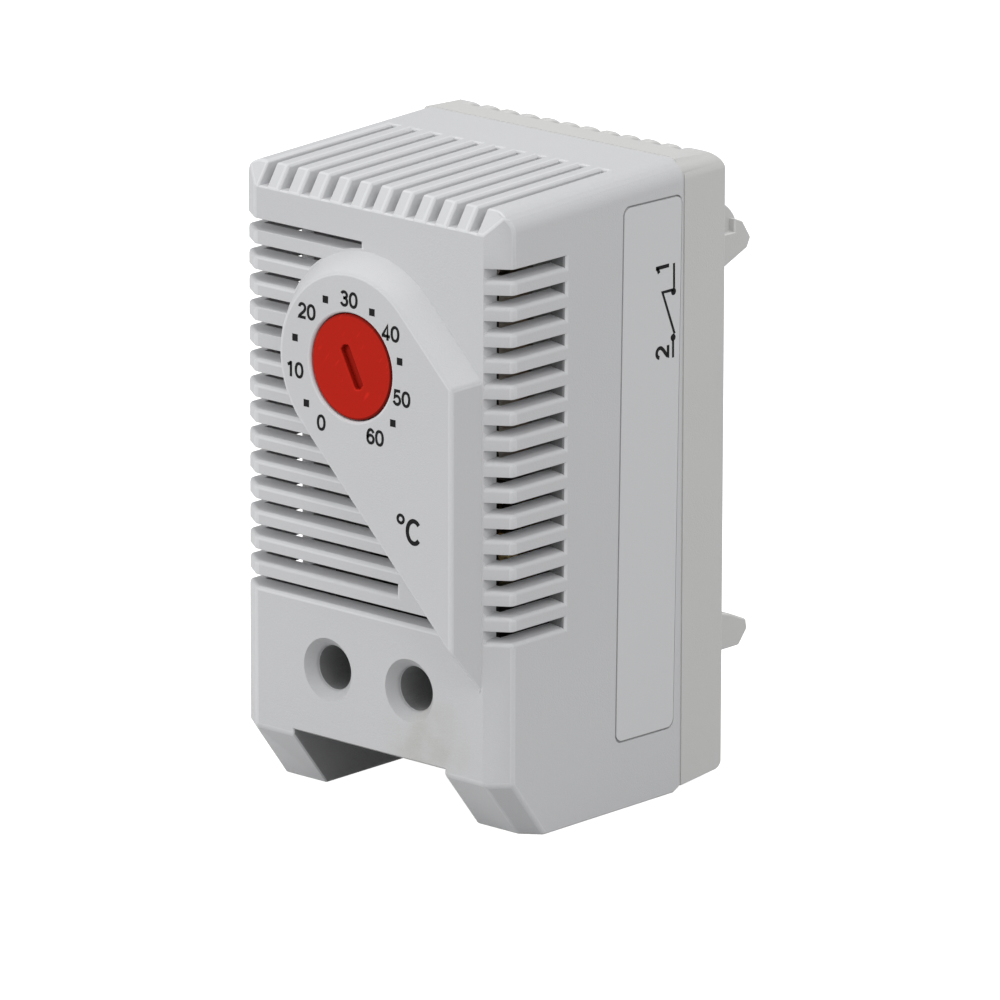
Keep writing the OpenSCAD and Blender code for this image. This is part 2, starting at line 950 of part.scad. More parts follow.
module contact_carrier() {
    color("dimgray")
        placed()
            difference() {
                union() {
                    carrier_block();
                    both_sides()
                        block(
                            [pillar_x, bridge_y, carrier_top - over],
                            [pillar_x + pillar_t, guide_end, bridge_top]
                        );
                    block(
                        [-pillar_x - pillar_t, bridge_y, bridge_low],
                        [pillar_x + pillar_t, bridge_y + bridge_t, bridge_top]
                    );
                    block(
                        [-stop_post_w / 2, wall + run_gap, dial_z + flange_r + run_gap],
                        [stop_post_w / 2, bridge_y + bridge_t, dial_z + flange_r + run_gap + stop_post_h]
                    );
                    block(
                        [-stop_post_w / 2, bridge_y, bridge_top - over],
                        [stop_post_w / 2, bridge_y + bridge_t, dial_z + flange_r + run_gap + stop_post_h]
                    );
                    block(
                        [-barrier_half, bar_y + bar_t + run_gap, carrier_top - over],
                        [barrier_half, bar_y + bar_t + run_gap + barrier_t, barrier_top]
                    );
                    both_sides()
                        block(
                            [lug_x - lug_half, carrier_back - lug_t, carrier_top - over],
                            [lug_x + lug_half, carrier_back, lug_z + lug_half]
                        );
                }
                rod(bridge_y - over, bridge_y + bridge_t + over, journal_r + fit_gap, 0, dial_z);
                both_sides()
                    rod(
                        carrier_back - screw_bite - seat_gap,
                        carrier_back + over,
                        screw_r + touch_gap,
                        lug_x,
                        lug_z
                    );
            }
}

// Jaw that holds the foot of a leaf: a block with a slot from above
module jaw(width, y0, y1, leaf_y, leaf_t) {
    difference() {
        block([-width / 2, y0, jaw_top - jaw_h], [width / 2, y1, jaw_top]);
        block(
            [-width / 2 - over, leaf_y - jaw_gap, jaw_top - jaw_slot],
            [width / 2 + over, leaf_y + leaf_t + jaw_gap, jaw_top + over]
        );
    }
}

module terminal_bar_1() {
    color("goldenrod")
        placed()
            union() {
                block(
                    [-terminal_x - bar_w / 2, bar_y, bar_low],
                    [-terminal_x + bar_w / 2, bar_y + bar_t, strap_z + bar_t]
                );
                block(
                    [-terminal_x - bar_w / 2, bar_y, strap_z],
                    [-lever_w / 2 - strap_gap, bar_1_back + bar_t, strap_z + bar_t]
                );
                block(
                    [-terminal_x - bar_w / 2, bar_1_back, strap_z],
                    [strip_w / 2, bar_1_back + bar_t, jaw_top - jaw_h + bar_t]
                );
                jaw(strip_w, bar_1_y, bar_1_back + bar_t, strip_y, strip_t);
            }
}

module terminal_bar_2() {
    color("goldenrod")
        placed()
            union() {
                block(
                    [terminal_x - bar_w / 2, bar_y, bar_low],
                    [terminal_x + bar_w / 2, bar_y + bar_t, jaw_top - jaw_h + bar_t]
                );
                block(
                    [-lever_w / 2, bar_y, strap_z + bar_t + strap_gap / 2],
                    [terminal_x + bar_w / 2, bar_y + bar_t, jaw_top - jaw_h + bar_t]
                );
                jaw(lever_w, lever_y - cheek_t - jaw_gap, bar_y + bar_t, lever_y, lever_t);
            }
}

module setpoint_lever() {
    color("peru")
        placed()
            difference() {
                block([-lever_w / 2, lever_y, strip_low], [lever_w / 2, lever_y + lever_t, lever_top]);
                rod(lever_y - over, lever_y + lever_t + over, rivet_r, 0, contact_z);
            }
}

// Contact rivet: its head on one side of a leaf and its tail on the other
module contact_rivet(face_y, head_y1, tail_y, z) {
    rod(min(face_y, head_y1), max(face_y, head_y1), contact_r, 0, z);
    rod(min(face_y, tail_y), max(face_y, tail_y), rivet_r, 0, z);
}

module fixed_contact() {
    color("silver")
        placed()
            contact_rivet(lever_y + lever_t, lever_y + lever_t + contact_t, lever_y - rivet_tail, contact_z);
}

module snap_magnet() {
    color("darkslategray")
        placed()
            block(
                [-magnet_w / 2, lever_y + lever_t, magnet_z - magnet_h / 2],
                [magnet_w / 2, lever_y + lever_t + magnet_t, magnet_z + magnet_h / 2]
            );
}

module bimetal_strip() {
    color("tan")
        placed()
            difference() {
                block([-strip_w / 2, strip_y, strip_low], [strip_w / 2, strip_y + strip_t, lever_top]);
                rod(strip_y - over, strip_y + strip_t + over, rivet_r, 0, contact_z);
            }
}

module moving_contact() {
    color("silver")
        placed()
            contact_rivet(strip_y, strip_y - contact_t, strip_y + strip_t + rivet_tail, contact_z);
}

module armature() {
    color("slategray")
        placed()
            block(
                [-magnet_w / 2, strip_y - magnet_t, magnet_z - magnet_h / 2],
                [magnet_w / 2, strip_y, magnet_z + magnet_h / 2]
            );
}

// Cage clamp around a terminal bar, open at the top and bottom for the wire
module clamp_cage(x) {
    color("khaki")
        placed()
            difference() {
                block(
                    [x - cage_w / 2, cage_y, terminal_z - cage_h / 2],
                    [x + cage_w / 2, cage_back + cage_t, terminal_z + cage_h / 2]
                );
                block(
                    [x - cage_w / 2 + cage_t, cage_y + cage_front_t, terminal_z - cage_h / 2 - over],
                    [x + cage_w / 2 - cage_t, cage_back, terminal_z + cage_h / 2 + over]
                );
                rod(cage_y - over, cage_y + cage_front_t + over, shank_r + fit_gap, x, terminal_z);
            }
}

module clamp_cage_1() {
    clamp_cage(-terminal_x);
}

module clamp_cage_2() {
    clamp_cage(terminal_x);
}

// Terminal screw with a cross slot
module terminal_screw(x) {
    color("silver")
        placed()
            difference() {
                union() {
                    rod(head_y, head_y + head_t, head_r, x, terminal_z);
                    rod(head_y + head_t / 2, bar_y - touch_gap, shank_r, x, terminal_z);
                }
                block(
                    [x - head_slot_w / 2, head_y - over, terminal_z - head_r - over],
                    [x + head_slot_w / 2, head_y + head_slot_deep, terminal_z + head_r + over]
                );
                block(
                    [x - head_cross, head_y - over, terminal_z - head_slot_w / 2],
                    [x + head_cross, head_y + head_slot_deep, terminal_z + head_slot_w / 2]
                );
            }
}

module terminal_screw_1() {
    terminal_screw(-terminal_x);
}

module terminal_screw_2() {
    terminal_screw(terminal_x);
}

// Countersunk screw that holds the carrier to the base
module carrier_screw(x) {
    color("silver")
        placed()
            difference() {
                union() {
                    rod(carrier_back - screw_bite, body_d - touch_gap, screw_r, x, lug_z);
                    cone(
                        body_d - screw_head_t - touch_gap,
                        body_d - touch_gap,
                        screw_r,
                        screw_head_r,
                        x,
                        lug_z
                    );
                }
                block(
                    [x - screw_head_r, body_d - screw_head_t / 2, lug_z - head_slot_w / 2],
                    [x + screw_head_r, body_d + over, lug_z + head_slot_w / 2]
                );
            }
}

module carrier_screw_1() {
    carrier_screw(-lug_x);
}

module carrier_screw_2() {
    carrier_screw(lug_x);
}

front_housing();
rear_base();
rail_latch_1();
rail_latch_2();
side_label();
setpoint_dial();
spindle();
wave_washer();
spindle_clip();
adjusting_plunger();
contact_carrier();
terminal_bar_1();
terminal_bar_2();
setpoint_lever();
fixed_contact();
snap_magnet();
bimetal_strip();
moving_contact();
armature();
clamp_cage_1();
clamp_cage_2();
terminal_screw_1();
terminal_screw_2();
carrier_screw_1();
carrier_screw_2();
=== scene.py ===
"""Finish, lights and camera of a small louvred thermostat for a 35 mm rail.

Lengths are in metres, and where a heading says so in millimetres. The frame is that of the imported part:
X to the right, Y to the back and Z up.
"""

import math

import bmesh
import bpy
from mathutils import Matrix, Vector

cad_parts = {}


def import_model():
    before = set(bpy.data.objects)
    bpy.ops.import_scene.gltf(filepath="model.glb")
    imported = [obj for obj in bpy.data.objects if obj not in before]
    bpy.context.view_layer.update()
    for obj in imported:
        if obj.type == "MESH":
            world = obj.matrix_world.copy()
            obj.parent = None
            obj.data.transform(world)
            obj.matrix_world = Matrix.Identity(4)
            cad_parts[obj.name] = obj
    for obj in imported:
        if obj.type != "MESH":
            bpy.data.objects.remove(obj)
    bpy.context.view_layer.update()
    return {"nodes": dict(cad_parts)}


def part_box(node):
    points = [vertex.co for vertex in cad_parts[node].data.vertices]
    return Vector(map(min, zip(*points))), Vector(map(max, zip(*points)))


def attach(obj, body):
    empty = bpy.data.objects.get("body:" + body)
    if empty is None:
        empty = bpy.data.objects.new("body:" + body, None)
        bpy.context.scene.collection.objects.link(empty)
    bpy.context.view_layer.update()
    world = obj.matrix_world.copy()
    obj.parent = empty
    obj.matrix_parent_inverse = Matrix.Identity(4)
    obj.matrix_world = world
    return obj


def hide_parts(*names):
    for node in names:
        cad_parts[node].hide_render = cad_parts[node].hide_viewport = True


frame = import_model()

MM = 0.001
WHITE = (1, 1, 1, 1)

# Camera, as found from the photograph's perspective
CAMERA_AZIMUTH = math.radians(42.17)
CAMERA_ELEVATION = math.radians(15.393)
CAMERA_ROLL = math.radians(0.121)
CAMERA_DISTANCE = 997.2 * MM
CAMERA_LENS = 388.8
CAMERA_SENSOR = 36
CAMERA_NEAR = 0.05
CAMERA_FAR = 20
CAMERA_TARGET = Vector((2.685, -4.125, 27.435)) * MM

# Places on the housing that the dial, the bores and the prints share
DIAL_CENTRE_Z = 42.95 * MM
PLATE_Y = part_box("front_housing")[0].y
FRONT_Y = PLATE_Y + 2.35 * MM
RIGHT_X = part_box("front_housing")[1].x
DIAL_HOLE_R = 5.05 * MM
TERMINAL_X = 5.1 * MM
TERMINAL_Z = 12.8 * MM
ACCESS_R = 2.1 * MM
SINK_R = 3 * MM


def camera():
    """Camera on its circle about the target, rolled about its own line of sight."""
    sin_a, cos_a = math.sin(CAMERA_AZIMUTH), math.cos(CAMERA_AZIMUTH)
    sin_e, cos_e = math.sin(CAMERA_ELEVATION), math.cos(CAMERA_ELEVATION)
    back = Vector((sin_a * cos_e, -cos_a * cos_e, sin_e))
    right = (-back).cross(Vector((0, 0, 1))).normalized()
    up = back.cross(right)
    turn = Matrix.Rotation(CAMERA_ROLL, 3, back)
    axes = Matrix((turn @ right, turn @ up, back)).transposed()
    data = bpy.data.cameras.new("camera")
    data.sensor_width = CAMERA_SENSOR
    data.lens = CAMERA_LENS
    data.clip_start = CAMERA_NEAR
    data.clip_end = CAMERA_FAR
    made = bpy.data.objects.new("camera", data)
    made.matrix_world = Matrix.Translation(CAMERA_TARGET + back * CAMERA_DISTANCE) @ axes.to_4x4()
    bpy.context.scene.collection.objects.link(made)
    bpy.context.scene.camera = made


# Patterns of the materials: scales count per metre

TONE_SCALE = 60
TONE_DETAIL = 4
GRAIN_DETAIL = 2
SCRATCH_TURN = math.radians(35)
SCRATCH_SIZE = (0.3 * MM, 1, 2.2 * MM)
SCRATCH_FROM = 0.66
SCRATCH_FULL = 0.74
STAIN_SCALE = 300
STAIN_DETAIL = 3
STAIN_FROM = 0.35
STAIN_FULL = 0.7
STAIN_FADE = 3
STREAK_SCALE = 1500
STREAK_DETAIL = 3
STREAK_STRETCH = 0.08


def nodes_of(name):
    """New material with its node tree and shader."""
    material = bpy.data.materials.new(name)
    material.use_nodes = True
    tree = material.node_tree
    return material, tree, tree.nodes["Principled BSDF"]


def link(tree, source, target):
    tree.links.new(source, target)


def noise(tree, place, scale, detail):
    """Level of a smooth random pattern at a place."""
    made = tree.nodes.new("ShaderNodeTexNoise")
    made.inputs["Scale"].default_value = scale
    made.inputs["Detail"].default_value = detail
    link(tree, place, made.inputs["Vector"])
    return made.outputs["Fac"]


def spread(tree, value, low, high, to_low=0, to_high=1):
    """Maps a value from one range to another, and no further."""
    made = tree.nodes.new("ShaderNodeMapRange")
    made.inputs["From Min"].default_value = low
    made.inputs["From Max"].default_value = high
    made.inputs["To Min"].default_value = to_low
    made.inputs["To Max"].default_value = to_high
    link(tree, value, made.inputs["Value"])
    return made.outputs["Result"]


def scratched(tree, place, level, strength):
    """Adds sparse pale scratches to a level of tone."""
    turned = tree.nodes.new("ShaderNodeMapping")
    turned.vector_type = "TEXTURE"
    turned.inputs["Rotation"].default_value = (0, SCRATCH_TURN, 0)
    turned.inputs["Scale"].default_value = SCRATCH_SIZE
    link(tree, place, turned.inputs["Vector"])
    marks = noise(tree, turned.outputs["Vector"], 1, 1)
    lines = spread(tree, marks, SCRATCH_FROM, SCRATCH_FULL, 0, strength)
    both = tree.nodes.new("ShaderNodeMath")
    link(tree, level, both.inputs[0])
    link(tree, lines, both.inputs[1])
    return both.outputs["Value"]


def stained(tree, place, colour, centre, reach, tint):
    """Lays a faint patchy stain about a point."""
    away = tree.nodes.new("ShaderNodeVectorMath")
    away.operation = "DISTANCE"
    away.inputs[1].default_value = centre
    link(tree, place, away.inputs[0])
    near = spread(tree, away.outputs["Value"], reach, reach / STAIN_FADE)
    both = tree.nodes.new("ShaderNodeMath")
    both.operation = "MULTIPLY"
    link(tree, near, both.inputs[0])
    patches = spread(tree, noise(tree, place, STAIN_SCALE, STAIN_DETAIL), STAIN_FROM, STAIN_FULL)
    link(tree, patches, both.inputs[1])
    mixed = tree.nodes.new("ShaderNodeMix")
    mixed.data_type = "RGBA"
    link(tree, both.outputs["Value"], mixed.inputs[0])
    link(tree, colour, mixed.inputs[6])
    mixed.inputs[7].default_value = (*tint, 1)
    return mixed.outputs[2]


def moulded(
    name, colour, roughness=0.5, grain=0.16, bump=0.02, mottle=0.03, gloss=0.4, scratch=0, stain=None
):
    """Moulded plastic with a spark-eroded grain, a slight change of tone over the surface, and the
    painted highlight and painted shade that each face's shade attribute sets.
    """
    material, tree, shader = nodes_of(name)
    place = tree.nodes.new("ShaderNodeTexCoord").outputs["Object"]
    tone = spread(tree, noise(tree, place, TONE_SCALE, TONE_DETAIL), 0, 1, 1 - mottle, 1 + mottle)
    # Painted light and shade: each face's shade attribute makes its colour paler on rounded edges and
    # darker in recesses
    shade = tree.nodes.new("ShaderNodeAttribute")
    shade.attribute_name = "shade"
    level = tree.nodes.new("ShaderNodeMath")
    level.operation = "MULTIPLY_ADD"
    link(tree, shade.outputs["Fac"], level.inputs[0])
    link(tree, tone, level.inputs[1])
    link(tree, tone, level.inputs[2])
    level = level.outputs["Value"]
    if scratch:
        level = scratched(tree, place, level, scratch)
    base = tree.nodes.new("ShaderNodeVectorMath")
    base.operation = "SCALE"
    base.inputs[0].default_value = colour
    link(tree, level, base.inputs["Scale"])
    base = base.outputs["Vector"]
    if stain:
        base = stained(tree, place, base, *stain)
    link(tree, base, shader.inputs["Base Color"])
    shader.inputs["Roughness"].default_value = roughness
    shader.inputs["Specular IOR Level"].default_value = gloss
    relief = tree.nodes.new("ShaderNodeBump")
    relief.inputs["Strength"].default_value = 1
    relief.inputs["Distance"].default_value = bump * MM
    link(tree, noise(tree, place, 1 / (grain * MM), GRAIN_DETAIL), relief.inputs["Height"])
    link(tree, relief.outputs["Normal"], shader.inputs["Normal"])
    return material


def metal(name, colour, roughness=0.3, streak=0.1):
    """Metal with fine drawn streaks in its gloss."""
    material, tree, shader = nodes_of(name)
    place = tree.nodes.new("ShaderNodeTexCoord").outputs["Object"]
    stretch = tree.nodes.new("ShaderNodeMapping")
    stretch.inputs["Scale"].default_value = (1, 1, STREAK_STRETCH)
    link(tree, place, stretch.inputs["Vector"])
    streaks = noise(tree, stretch.outputs["Vector"], STREAK_SCALE, STREAK_DETAIL)
    gloss = spread(tree, streaks, 0, 1, roughness - streak, roughness + streak)
    link(tree, gloss, shader.inputs["Roughness"])
    shader.inputs["Base Color"].default_value = (*colour, 1)
    shader.inputs["Metallic"].default_value = 1
    return material


def dress(node, material):
    """Gives a CAD node its finish."""
    mesh = frame["nodes"][node].data
    mesh.materials.clear()
    mesh.materials.append(material)


# Softened copies of the moulded CAD nodes

JOIN = 0.001 * MM
FLAT_ANGLE = math.radians(0.6)
SHARP_ANGLE = math.radians(33)
BEVEL_ANGLE = math.radians(29.5)
NEAR = 0.03 * MM
SHARE = 0.9
LEAST_BEVEL = 0.03 * MM
UNEVEN = 0.05 * MM
# Painted highlight: the faces that a bevel makes are this much paler than the rest
EDGE_HIGHLIGHT = 0.12
LEAST_CHORD = 0.01
MOST_CHORD = 0.5

# Least share of a face's normal along an axis for a face that is square to it, looks along it or leans
SQUARE = 0.9
TOWARDS = 0.7
LEANING = 0.2
CONE_LEANS = (0.2, 0.95)


def whole_faces(node):
    """Copy of a CAD node with its seams joined and each flat face in one piece."""
    work = bmesh.new()
    work.from_mesh(frame["nodes"][node].data)
    bmesh.ops.remove_doubles(work, verts=work.verts, dist=JOIN)
    bmesh.ops.dissolve_limit(work, angle_limit=FLAT_ANGLE, verts=work.verts, edges=work.edges)
    return work


def even_cone(work, x, z, inner, outer):
    """Lays the facets of a countersink straight along its slope."""

    def turn(vert):
        return math.hypot(vert.co.x - x, vert.co.z - z)

    def between(item):
        return all(inner - NEAR < turn(vert) < outer + NEAR for vert in item.verts)

    least, most = CONE_LEANS
    cone = [face for face in work.faces if between(face) and least < abs(face.normal.y) < most]
    bmesh.ops.delete(work, geom=cone, context="FACES")
    rims = [edge for edge in work.edges if len(edge.link_faces) == 1 and between(edge)]
    bmesh.ops.bridge_loops(work, edges=rims)


def refine_circle(work, x, z, radius, cuts=3):
    """Splits the chords of a circle about an axis along Y and moves the new points out to the circle."""

    def off(vert):
        return abs(math.hypot(vert.co.x - x, vert.co.z - z) - radius)

    def angle(vert):
        return math.atan2(vert.co.z - z, vert.co.x - x)

    chords = []
    for edge in work.edges:
        a, b = edge.verts
        if off(a) < NEAR and off(b) < NEAR and abs(a.co.y - b.co.y) < NEAR:
            turn = abs(math.remainder(angle(a) - angle(b), math.tau))
            if LEAST_CHORD < turn < MOST_CHORD:
                chords.append(edge)
    made = bmesh.ops.bisect_edges(work, edges=chords, cuts=cuts)
    sagitta = radius * (1 - math.cos(MOST_CHORD / 2))
    for vert in {item for item in made["geom_split"] if isinstance(item, bmesh.types.BMVert)}:
        if off(vert) < sagitta:
            length = math.hypot(vert.co.x - x, vert.co.z - z)
            vert.co.x = x + (vert.co.x - x) * radius / length
            vert.co.z = z + (vert.co.z - z) * radius / length


def inner_side(edge, face):
    """Corner, direction and inward direction of an edge within one of its faces."""
    loop = next(item for item in face.loops if item.edge == edge)
    along = (loop.link_loop_next.vert.co - loop.vert.co).normalized()
    return loop, along, face.normal.cross(along)


def corner_loss(loop, next_loop, widths):
    """How much of an edge a bevel takes at the corner between two loops, per unit of its width."""
    before = (loop.link_loop_next.vert.co - loop.vert.co).normalized()
    after = (next_loop.link_loop_next.vert.co - next_loop.vert.co).normalized()
    turn = math.atan2(loop.face.normal.dot(before.cross(after)), before.dot(after))
    inside = math.pi - turn
    if widths.get(loop.edge) and widths.get(next_loop.edge):
        return 1 / math.tan(inside / 2), inside
    return (1 / math.tan(inside) if inside < math.pi / 2 else 0), inside


def room(edge, widths):
    """Widest bevel of an edge, up to the wanted one, that crosses nothing else in its two faces."""
    width = widths[edge]
    best = width
    for face in edge.link_faces:
        loop, along, inward = inner_side(edge, face)
        length = edge.calc_length()
        loss_end, inside_end = corner_loss(loop, loop.link_loop_next, widths)
        loss_start, inside_start = corner_loss(loop.link_loop_prev, loop, widths)
        if loss_start + loss_end > 0:
            best = min(best, SHARE * length / (loss_start + loss_end))
        low = -width if inside_start > math.pi else 0
        high = length + (width if inside_end > math.pi else 0)
        for other in face.edges:
            if other == edge or set(other.verts) & set(edge.verts):
                continue
            ends = []
            for vert in other.verts:
                gap = vert.co - loop.vert.co
                ends.append((gap.dot(along), gap.dot(inward)))
            (s0, h0), (s1, h1) = sorted(ends)
            if s1 <= low or s0 >= high:
                continue
            slope = (h1 - h0) / (s1 - s0) if s1 > s0 else 0
            clipped = [h0 + slope * (max(s0, low) - s0), h0 + slope * (min(s1, high) - s0)]
            if s1 - s0 < JOIN:
                clipped = [h0, h1]
            height = min(clipped)
            if height > JOIN:
                best = min(best, SHARE * height * width / (width + widths.get(other, 0)))
    return best


def chains(edges):
    """Groups of edges that run on into one another with little turn."""
    left = set(edges)
    while left:
        chain = [left.pop()]
        for edge in chain:
            for vert in edge.verts:
                way = vert.co - edge.other_vert(vert).co
                for other in vert.link_edges:
                    if other in left and way.angle(other.other_vert(vert).co - vert.co) < SHARP_ANGLE:
                        left.remove(other)
                        chain.append(other)
        yield chain


def soften(work, name, width_at, segments=3):
    """Rounds the sharp outer edges where there is room, by the width that width_at gives for each."""
    weight = work.edges.layers.float.new("bevel_weight_edge")
    wanted = {}
    for edge in work.edges:
        if len(edge.link_faces) == 2 and edge.calc_face_angle_signed() > BEVEL_ANGLE:
            width = width_at((edge.verts[0].co + edge.verts[1].co) / 2, edge.link_faces)
            if width:
                wanted[edge] = width
    widest = max(wanted.values())
    for chain in chains(wanted):
        width = min(room(edge, wanted) for edge in chain)
        if width > LEAST_BEVEL:
            for edge in chain:
                edge[weight] = width / widest
    mesh = bpy.data.meshes.new(name)
    work.to_mesh(mesh)
    work.free()
    made = bpy.data.objects.new(name, mesh)
    bpy.context.scene.collection.objects.link(made)
    bevel = made.modifiers.new("bevel", "BEVEL")
    bevel.limit_method = "WEIGHT"
    bevel.width = widest
    bevel.segments = segments
    bevel.use_clamp_overlap = False
    bevel.material = 1
    return made


def worked(made):
    """Mesh of an object with its modifiers worked in."""
    bpy.context.view_layer.update()
    shaped = bpy.data.meshes.new_from_object(
        made.evaluated_get(bpy.context.evaluated_depsgraph_get())
    )
    made.modifiers.clear()
    made.data = shaped


def uneven(face):
    """Whether a face of many corners isn't flat."""
    middle = face.calc_center_median()
    return len(face.verts) > 4 and any(
        abs((vert.co - middle).dot(face.normal)) > UNEVEN for vert in face.verts
    )


def stand_in(made, node, body, material, shade_at=None):
    """Finishes a softened copy, with a painted highlight that makes its rounded edges a little paler, or
    the painted highlight and shade that shade_at gives instead, and puts it in the node's place.
    """
    made.data.materials.append(material)
    made.data.materials.append(material)
    worked(made)
    work = bmesh.new()
    work.from_mesh(made.data)
    bmesh.ops.recalc_face_normals(work, faces=work.faces)
    bmesh.ops.triangulate(work, faces=[face for face in work.faces if uneven(face)])
    shade = work.faces.layers.float.new("shade")
    for face in work.faces:
        face.smooth = True
        # Painted highlight on bevel faces, or the painted light and shade from shade_at
        face[shade] = shade_at(face) if shade_at else EDGE_HIGHLIGHT * face.material_index
        face.material_index = 0
    for edge in work.edges:
        edge.smooth = len(edge.link_faces) == 2 and edge.calc_face_angle() < SHARP_ANGLE
    work.to_mesh(made.data)
    work.free()
    made.data.materials.clear()
    made.data.materials.append(material)
    weigh = made.modifiers.new("weigh", "WEIGHTED_NORMAL")
    weigh.mode = "FACE_AREA"
    weigh.weight = 100
    weigh.keep_sharp = True
    worked(made)
    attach(made, body)
    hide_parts(node)


# Places on the housing, in millimetres: from the middle, behind the front face and above the feet

INSIDE_X = 14.75
INSIDE_DEPTH = 1.7
INSIDE_LOW = 6.45
ROOF_UNDER = 58.25
ROOF_SLOTS_X = 13.75
ROOF_SLOTS_DEPTH = 18.1
ROOF_SLOTS_LOW = 57.1
LOUVRES_LOW = 18.75
LOUVRES_TOP = 54.35
LOUVRES_FRONT = -0.3
LOUVRES_DEPTH = 8.7
LOUVRE_SILL = 53.09
LOUVRE_PITCH = 2.425
LOUVRE_ROWS = 15
ROW_SLACK = 0.01
SIDE_SLOTS_X = 14.5
SIDE_SLOT_ENDS = (8, 9)
LABEL_X = 16.2
LABEL_FLOOR_X = 16.45
LABEL_LOW = 5
LABEL_DEPTHS = (15.5, 24.3)
BORE_DEPTH = 0.5
SINK_DEPTHS = (0.05, 1)
NOTCH_X = 9.5
NOTCH_WALL_X = 8
NOTCH_TOP = 6.5
NOTCH_DEPTH = 24.5
TOES_TOP = 5.5
TOES_LEAN = 0.4
HOOD_DEPTH = 24.4

# Widths of its rounded edges
RIB_BEVEL = 0.5 * MM
ROOF_SLOT_BEVEL = 0.16 * MM
LOUVRE_BEVEL = 0.42 * MM
LOUVRE_UNDER_BEVEL = 0.12 * MM
TOE_BEVEL = 0.2 * MM
HOOD_BEVEL = 0.3 * MM

# How far its walls move
SILL_RISE = 0.22 * MM
SLOT_CLOSE = 0.28 * MM
LABEL_WIDEN = 0.13 * MM

# Painted shade in its recesses: their colour is made darker where shade falls
BORE_SHADE = -0.56
SINK_SHADE = -0.13
RECESS_SHADE = -0.5
SLOT_END_SHADE = -0.6


def in_hood(middle):
    """X, depth behind the front face and height, in millimetres."""
    return middle.x / MM, (middle.y - FRONT_Y) / MM, middle.z / MM


def faces_along(faces, axis, sign):
    """Whether one of an edge's faces looks along an axis, forwards or backwards."""
    return any(sign * face.normal[axis] > TOWARDS for face in faces)


def on_label(x, y, z):
    return x > LABEL_X and LABEL_DEPTHS[0] < y < LABEL_DEPTHS[1] and LABEL_LOW < z < ROOF_UNDER


def on_roof_slots(x, y, z):
    return abs(x) < ROOF_SLOTS_X and y < ROOF_SLOTS_DEPTH and z > ROOF_SLOTS_LOW


def among_louvres(z):
    return LOUVRES_LOW < z < LOUVRES_TOP


def hood_width(middle, faces):
    """Width to which an edge of the housing is rounded, which is none inside and at the label."""
    x, y, z = in_hood(middle)
    if abs(x) < INSIDE_X and y > INSIDE_DEPTH and INSIDE_LOW < z < ROOF_UNDER:
        return 0
    if on_label(x, y, z):
        return 0
    if on_roof_slots(x, y, z):
        return RIB_BEVEL if faces_along(faces, 0, 1) else ROOF_SLOT_BEVEL
    if among_louvres(z) and LOUVRES_FRONT < y < LOUVRES_DEPTH:
        return LOUVRE_UNDER_BEVEL if faces_along(faces, 2, -1) else LOUVRE_BEVEL
    if x < 0 and faces[0].normal.angle(faces[1].normal) < SHARP_ANGLE:
        return 0
    if all(face.normal.z < -TOES_LEAN for face in faces) and z < TOES_TOP:
        return TOE_BEVEL
    return HOOD_BEVEL if y < HOOD_DEPTH else 0


def in_notch(x, y, z, normal):
    """Whether a face is the ceiling or a side of the notch between the toes."""
    ceiling = normal.z < -TOWARDS and abs(x) < NOTCH_X
    return z < NOTCH_TOP and y < NOTCH_DEPTH and (ceiling or x * normal.x < -NOTCH_WALL_X)


def ends_side_slot(x, y, z, normal):
    """Whether a face closes a louvre slot in a side wall."""
    deep = SIDE_SLOT_ENDS[0] < y < SIDE_SLOT_ENDS[1]
    return normal.y < -TOWARDS and abs(x) > SIDE_SLOTS_X and deep and among_louvres(z)


def hood_shade(face):
    """Painted highlight on the outer rounded edges, and painted shade in the holes, the countersinks, the
    label's gap, the notch and the slots' ends.
    """
    x, y, z = in_hood(face.calc_center_median())
    turn = math.hypot(abs(x) - TERMINAL_X / MM, z - TERMINAL_Z / MM)
    if turn < ACCESS_R / MM and y > BORE_DEPTH:
        return BORE_SHADE
    if turn < SINK_R / MM and SINK_DEPTHS[0] < y < SINK_DEPTHS[1]:
        return SINK_SHADE
    if on_label(x, y, z) and x < LABEL_FLOOR_X and face.normal.x > SQUARE:
        return RECESS_SHADE
    if in_notch(x, y, z, face.normal):
        return RECESS_SHADE
    if ends_side_slot(x, y, z, face.normal):
        return SLOT_END_SHADE
    on_sill = among_louvres(z) and y < LOUVRES_DEPTH and face.normal.z > LEANING
    on_rib = z > ROOF_SLOTS_LOW and face.normal.x > LEANING and abs(x) < ROOF_SLOTS_X
    return 0 if on_sill or on_rib else EDGE_HIGHLIGHT * face.material_index


def tilt_sills(work):
    """Raises the inner edges of the louvres' sills."""
    for vert in work.verts:
        x, y, z = in_hood(vert.co)
        row = (LOUVRE_SILL - z) / LOUVRE_PITCH
        in_row = abs(row - round(row)) < ROW_SLACK and round(row) in range(LOUVRE_ROWS)
        if in_row and INSIDE_DEPTH < y < SIDE_SLOT_ENDS[1] and abs(x) < INSIDE_X:
            vert.co.z += SILL_RISE


def widen_label_pocket(work):
    """Opens the gap around the label, which shows as a dark line."""
    rim = [vert for vert in work.verts if on_label(*in_hood(vert.co))]
    low_y, high_y = min(vert.co.y for vert in rim), max(vert.co.y for vert in rim)
    low_z, high_z = min(vert.co.z for vert in rim), max(vert.co.z for vert in rim)
    for vert in rim:
        vert.co.y -= (high_y - vert.co.y) / (high_y - low_y) * LABEL_WIDEN
        vert.co.z += (2 * vert.co.z - low_z - high_z) / (high_z - low_z) * LABEL_WIDEN


def narrow_roof_slots(work):
    """Moves the walls on the right of the roof slots inwards."""
    walls = set()
    for face in work.faces:
        if face.normal.x < -SQUARE and on_roof_slots(*in_hood(face.calc_center_median())):
            walls.update(face.verts)
    for vert in walls:
        vert.co.x -= SLOT_CLOSE


